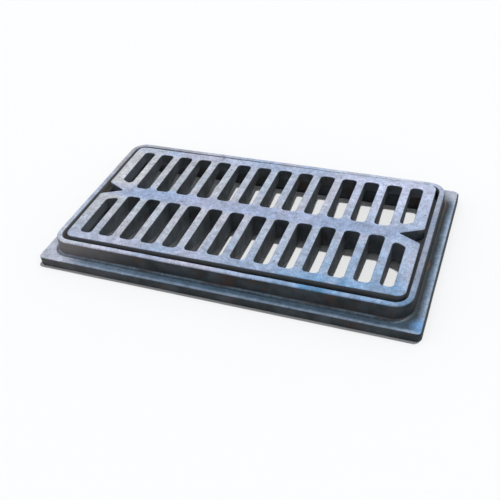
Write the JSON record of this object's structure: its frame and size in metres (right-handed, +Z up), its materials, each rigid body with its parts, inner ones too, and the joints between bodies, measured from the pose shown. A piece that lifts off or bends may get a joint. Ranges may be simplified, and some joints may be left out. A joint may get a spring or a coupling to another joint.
{
  "type": "gully grate",
  "caption": "Rectangular cast iron gully grate: a slotted grate with a V-shaped lifting notch at each end, resting loose on the ledge of a flanged frame with a raised collar.",
  "frame": {"origin": "centre of the frame's underside, on the bed", "axes": "+X along the long side, +Y across, +Z up towards the road"},
  "size_m": [0.96, 0.53, 0.065],
  "materials": {
    "frame_iron": "as cast, with a thin dark coat",
    "grate_iron": "as cast, with a thin dark coat and paler upper faces"
  },
  "bodies": {
    "root": {"frame": "frame_iron", "grate": "grate_iron"}
  },
  "joints": []
}
